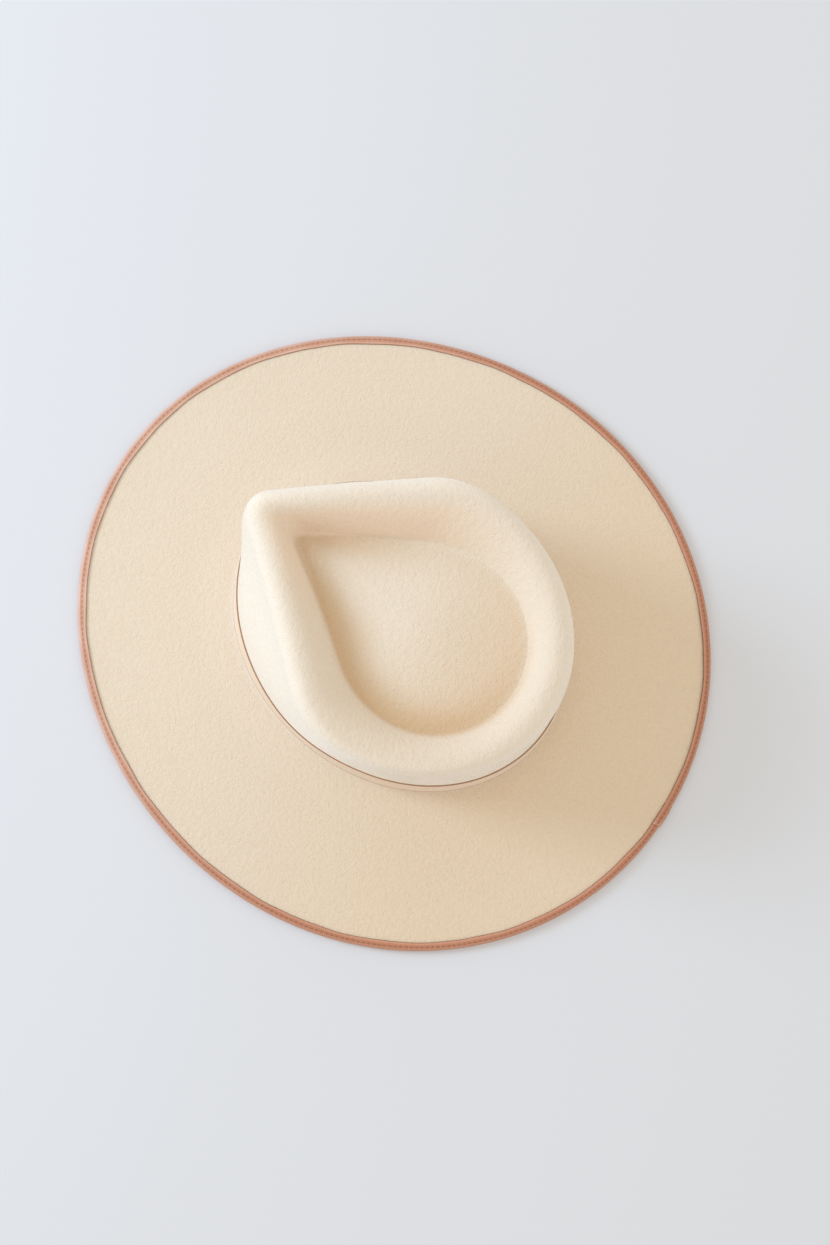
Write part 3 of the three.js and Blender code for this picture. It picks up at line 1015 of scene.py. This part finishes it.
# %% Stitch tree
def stitch_tree():
    tree = bpy.data.node_groups.new("stitch_row", "GeometryNodeTree")
    face = tree.interface
    face.new_socket(name="Geometry", in_out="OUTPUT", socket_type="NodeSocketGeometry")
    face.new_socket(name="Geometry", in_out="INPUT", socket_type="NodeSocketGeometry")
    sizes = {"Spacing": stitch_spacing, "Length": stitch_length, "Width": stitch_width, "Uneven": 0.1}
    for label, value in sizes.items():
        face.new_socket(name=label, in_out="INPUT", socket_type="NodeSocketFloat").default_value = value
    face.new_socket(name="Seed", in_out="INPUT", socket_type="NodeSocketInt").default_value = 7
    face.new_socket(name="Thread", in_out="INPUT", socket_type="NodeSocketMaterial")
    node = new_nodes(tree, {
        "in": "NodeGroupInput", "out": "NodeGroupOutput", "points": "GeometryNodeCurveToPoints",
        "ball": "GeometryNodeMeshUVSphere", "size": "ShaderNodeCombineXYZ", "back": "ShaderNodeVectorMath",
        "place": "GeometryNodeInstanceOnPoints", "turn": "FunctionNodeRandomValue",
        "rotate": "GeometryNodeRotateInstances", "smooth": "GeometryNodeSetShadeSmooth",
        "real": "GeometryNodeRealizeInstances", "paint": "GeometryNodeSetMaterial",
    })
    link = tree.links.new
    node["points"].mode = "LENGTH"
    link(node["in"].outputs["Geometry"], node["points"].inputs["Curve"])
    link(node["in"].outputs["Spacing"], node["points"].inputs["Length"])
    node["ball"].inputs["Segments"].default_value = 8
    node["ball"].inputs["Rings"].default_value = 6
    node["ball"].inputs["Radius"].default_value = 0.5
    for axis, label in (("X", "Width"), ("Y", "Width"), ("Z", "Length")):
        link(node["in"].outputs[label], node["size"].inputs[axis])
    link(node["points"].outputs["Points"], node["place"].inputs["Points"])
    link(node["ball"].outputs["Mesh"], node["place"].inputs["Instance"])
    link(node["points"].outputs["Rotation"], node["place"].inputs["Rotation"])
    link(node["size"].outputs["Vector"], node["place"].inputs["Scale"])
    node["turn"].data_type = "FLOAT_VECTOR"
    node["back"].operation = "MULTIPLY"
    node["back"].inputs[1].default_value = (-1.0, -1.0, -1.0)
    link(node["in"].outputs["Uneven"], node["back"].inputs[0])
    link(node["back"].outputs["Vector"], node["turn"].inputs["Min"])
    link(node["in"].outputs["Uneven"], node["turn"].inputs["Max"])
    link(node["in"].outputs["Seed"], node["turn"].inputs["Seed"])
    link(node["place"].outputs["Instances"], node["rotate"].inputs["Instances"])
    link(node["turn"].outputs["Value"], node["rotate"].inputs["Rotation"])
    link(node["rotate"].outputs["Instances"], node["smooth"].inputs["Geometry"])
    link(node["smooth"].outputs["Geometry"], node["real"].inputs["Geometry"])
    link(node["real"].outputs["Geometry"], node["paint"].inputs["Geometry"])
    link(node["in"].outputs["Thread"], node["paint"].inputs["Material"])
    link(node["paint"].outputs["Geometry"], node["out"].inputs["Geometry"])
    return tree


stitch_row = stitch_tree()
print("stitch tree:", len(stitch_row.nodes), "nodes")

# %% Rows of stitches
def sew(path, thread, seed):
    """Runs the stitch tree on a path and leaves a plain mesh object with the path's name."""
    named = sockets_of(stitch_row)
    sewing = path.modifiers.new("stitches", "NODES")
    sewing.node_group = stitch_row
    sewing[named["Thread"]] = thread
    sewing[named["Seed"]] = seed
    graph = bpy.context.evaluated_depsgraph_get()
    mesh = bpy.data.meshes.new_from_object(path.evaluated_get(graph))
    name = path.name
    bpy.data.objects.remove(path)
    made = bpy.data.objects.new(name, mesh)
    bpy.context.scene.collection.objects.link(made)
    return made


# The thread gets the same painted sheen near the front.
thread = ribbon_material(
    "brown_thread", (0.49, 0.22, 0.13, 1.0), (0.38, 0.165, 0.09, 1.0), sheen_and_fray=(0.68, 0.40, 0.27, 1.0)
)
top_seam = sew(stitch_path("stitches_above", height_above), thread, seed=7)
under_seam = sew(stitch_path("stitches_below", height_below), thread, seed=8)
for seam in (top_seam, under_seam):
    note_front_sheen(seam, 0.8)
    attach(seam, "root")
    print(seam.name, len(seam.data.polygons), "faces")

# %% [markdown]
# Hat band
# A cream ribbon goes once round the crown's foot. From above only its upper edge shows: a narrow brown
# selvage against the felt, and outside it a light strip where the ribbon leans out to the brim, ended by
# the thin bead of its lower selvage. It follows the same wall rule as the felt, a little further out, so
# the two can't touch.

# %% Hat band
band_gap = 0.1 * mm
band_thickness = 0.6 * mm
band_levels = np.array([0.0, 0.03, 0.05, 0.15, 0.3, 0.5, 0.7, 0.85, 0.95, 0.98, 1.0])
foot_bead = np.array([0.4, 0.4, 0.1, 0.0, 0.0, 0.0, 0.0, 0.0, 0.0, 0.0, 0.0]) * mm


def band_rows():
    mean_foot = (crown_half_length + crown_half_width) / 2 + foot_flare
    count = 2 * round(around * mean_foot / rib_pitch)
    run = np.linspace(0.0, around, count, endpoint=False)
    heights = [np.full_like(run, wall_foot + band_height * level) for level in band_levels]
    outwards = band_gap + band_thickness + foot_bead
    outer = [wall_place(run, height, out) for height, out in zip(heights, outwards)]
    inner = [wall_place(run, height, band_gap) for height in heights]
    line = np.stack(outer + inner[::-1], axis=1)
    return [line[k] for k in range(count)]


cream_stops = [(0.0, (0.66, 0.48, 0.36)), (0.035, (0.7, 0.54, 0.42)), (0.06, (1.04, 1.0, 0.99)),
               (0.955, (1.04, 1.0, 0.99)), (0.985, (0.62, 0.42, 0.29)), (1.0, (0.60, 0.39, 0.26))]
cream = ribbon_material(
    "cream_grosgrain", (0.87, 0.76, 0.61, 1.0), (0.74, 0.60, 0.44, 1.0), cream_stops, furrow_shade=0.2
)
band = add_ribs(swept_ribbon("band_ribbon", band_rows(), band_levels, closed=True), cream)
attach(band, "root")
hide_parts("hat_band")
print("band:", len(band.data.polygons), "faces, box", [round(s / mm, 1) for s in band.dimensions])

# %% [markdown]
# Both boxes are printed, the solid model's and this one's, so they can be compared.

seen_low, seen_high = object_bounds()
boxes = {
    "cad": [list(cad_low), list(cad_high)],
    "visual": [list(seen_low), list(seen_high)],
}
for name, corners in boxes.items():
    print(name, "mm:", [[round(v / mm, 1) for v in corner] for corner in corners])
